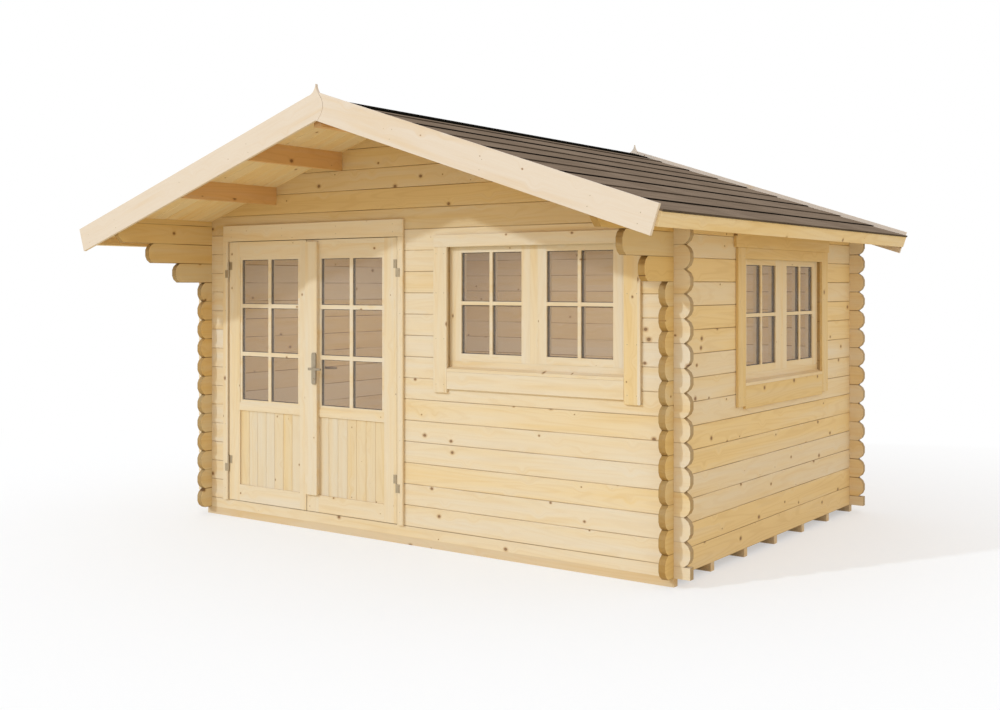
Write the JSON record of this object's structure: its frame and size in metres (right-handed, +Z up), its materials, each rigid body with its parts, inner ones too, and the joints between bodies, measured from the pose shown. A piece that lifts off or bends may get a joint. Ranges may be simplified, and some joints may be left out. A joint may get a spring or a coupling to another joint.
{
  "type": "garden house",
  "caption": "Garden house of interlocking pine logs with a far-reaching gabled shingle roof, a glazed double door and barred windows in the front and one side.",
  "frame": {"origin": "on the ground under the middle of the roof", "axes": "+X to the right along the door front, +Y to the back, +Z up"},
  "size_m": [4.4496, 3.72, 2.78],
  "materials": {
    "logs": "untreated pine, planed",
    "bearers": "rough sawn pine",
    "floor": "planed spruce boards",
    "beams": "planed pine",
    "roof_boards": "planed spruce boards",
    "shingles": "mineral-faced bitumen, brown grey",
    "trim": "planed pine boards",
    "joinery": "planed pine",
    "panels": "planed pine boards",
    "glass": "clear pane",
    "fittings": "plated steel"
  },
  "bodies": {
    "house": {"front_sill_log": "logs", "front_wall_left": "logs", "front_wall_right": "logs", "front_gable": "logs", "back_wall": "logs", "back_gable": "logs", "left_wall": "logs", "right_wall": "logs", "floor_bearers": "bearers", "floor_boards": "floor", "ridge_beam": "beams", "purlins": "beams", "left_roof_boards": "roof_boards", "right_roof_boards": "roof_boards", "left_shingles": "shingles", "right_shingles": "shingles", "ridge_cap": "shingles", "front_left_bargeboard": "trim", "front_right_bargeboard": "trim", "back_left_bargeboard": "trim", "back_right_bargeboard": "trim", "eave_fascias": "trim", "door_casing": "trim", "front_window_casing": "trim", "right_window_casing": "trim", "door_frame": "joinery", "front_window_frame": "joinery", "front_window_sashes": "joinery", "right_window_frame": "joinery", "right_window_sashes": "joinery", "front_window_glass": "glass", "right_window_glass": "glass", "door_hinges": "fittings"},
    "left_door": {"left_door_leaf": "joinery", "left_door_panel": "panels", "left_door_glass": "glass", "left_door_hinges": "fittings"},
    "right_door": {"right_door_leaf": "joinery", "right_door_panel": "panels", "right_door_glass": "glass", "right_door_hinges": "fittings", "handle_plates": "fittings"},
    "lever": {"door_lever": "fittings"}
  },
  "joints": [
    {"name": "left_door_hinge", "type": "hinge", "parent": "house", "child": "left_door", "pos_m": [-1.6305, -1.055, 1], "axis": [0, 0, -1], "range_deg": [0, 100]},
    {"name": "right_door_hinge", "type": "hinge", "parent": "house", "child": "right_door", "pos_m": [-0.0795, -1.055, 1], "axis": [0, 0, 1], "range_deg": [0, 150]},
    {"name": "lever_turn", "type": "hinge", "parent": "right_door", "child": "lever", "pos_m": [-0.7825, -1.028, 1.075], "axis": [0, 1, 0], "range_deg": [0, 45], "stiffness_Nm_per_rad": 0.6, "springref_deg": -34.38}
  ]
}
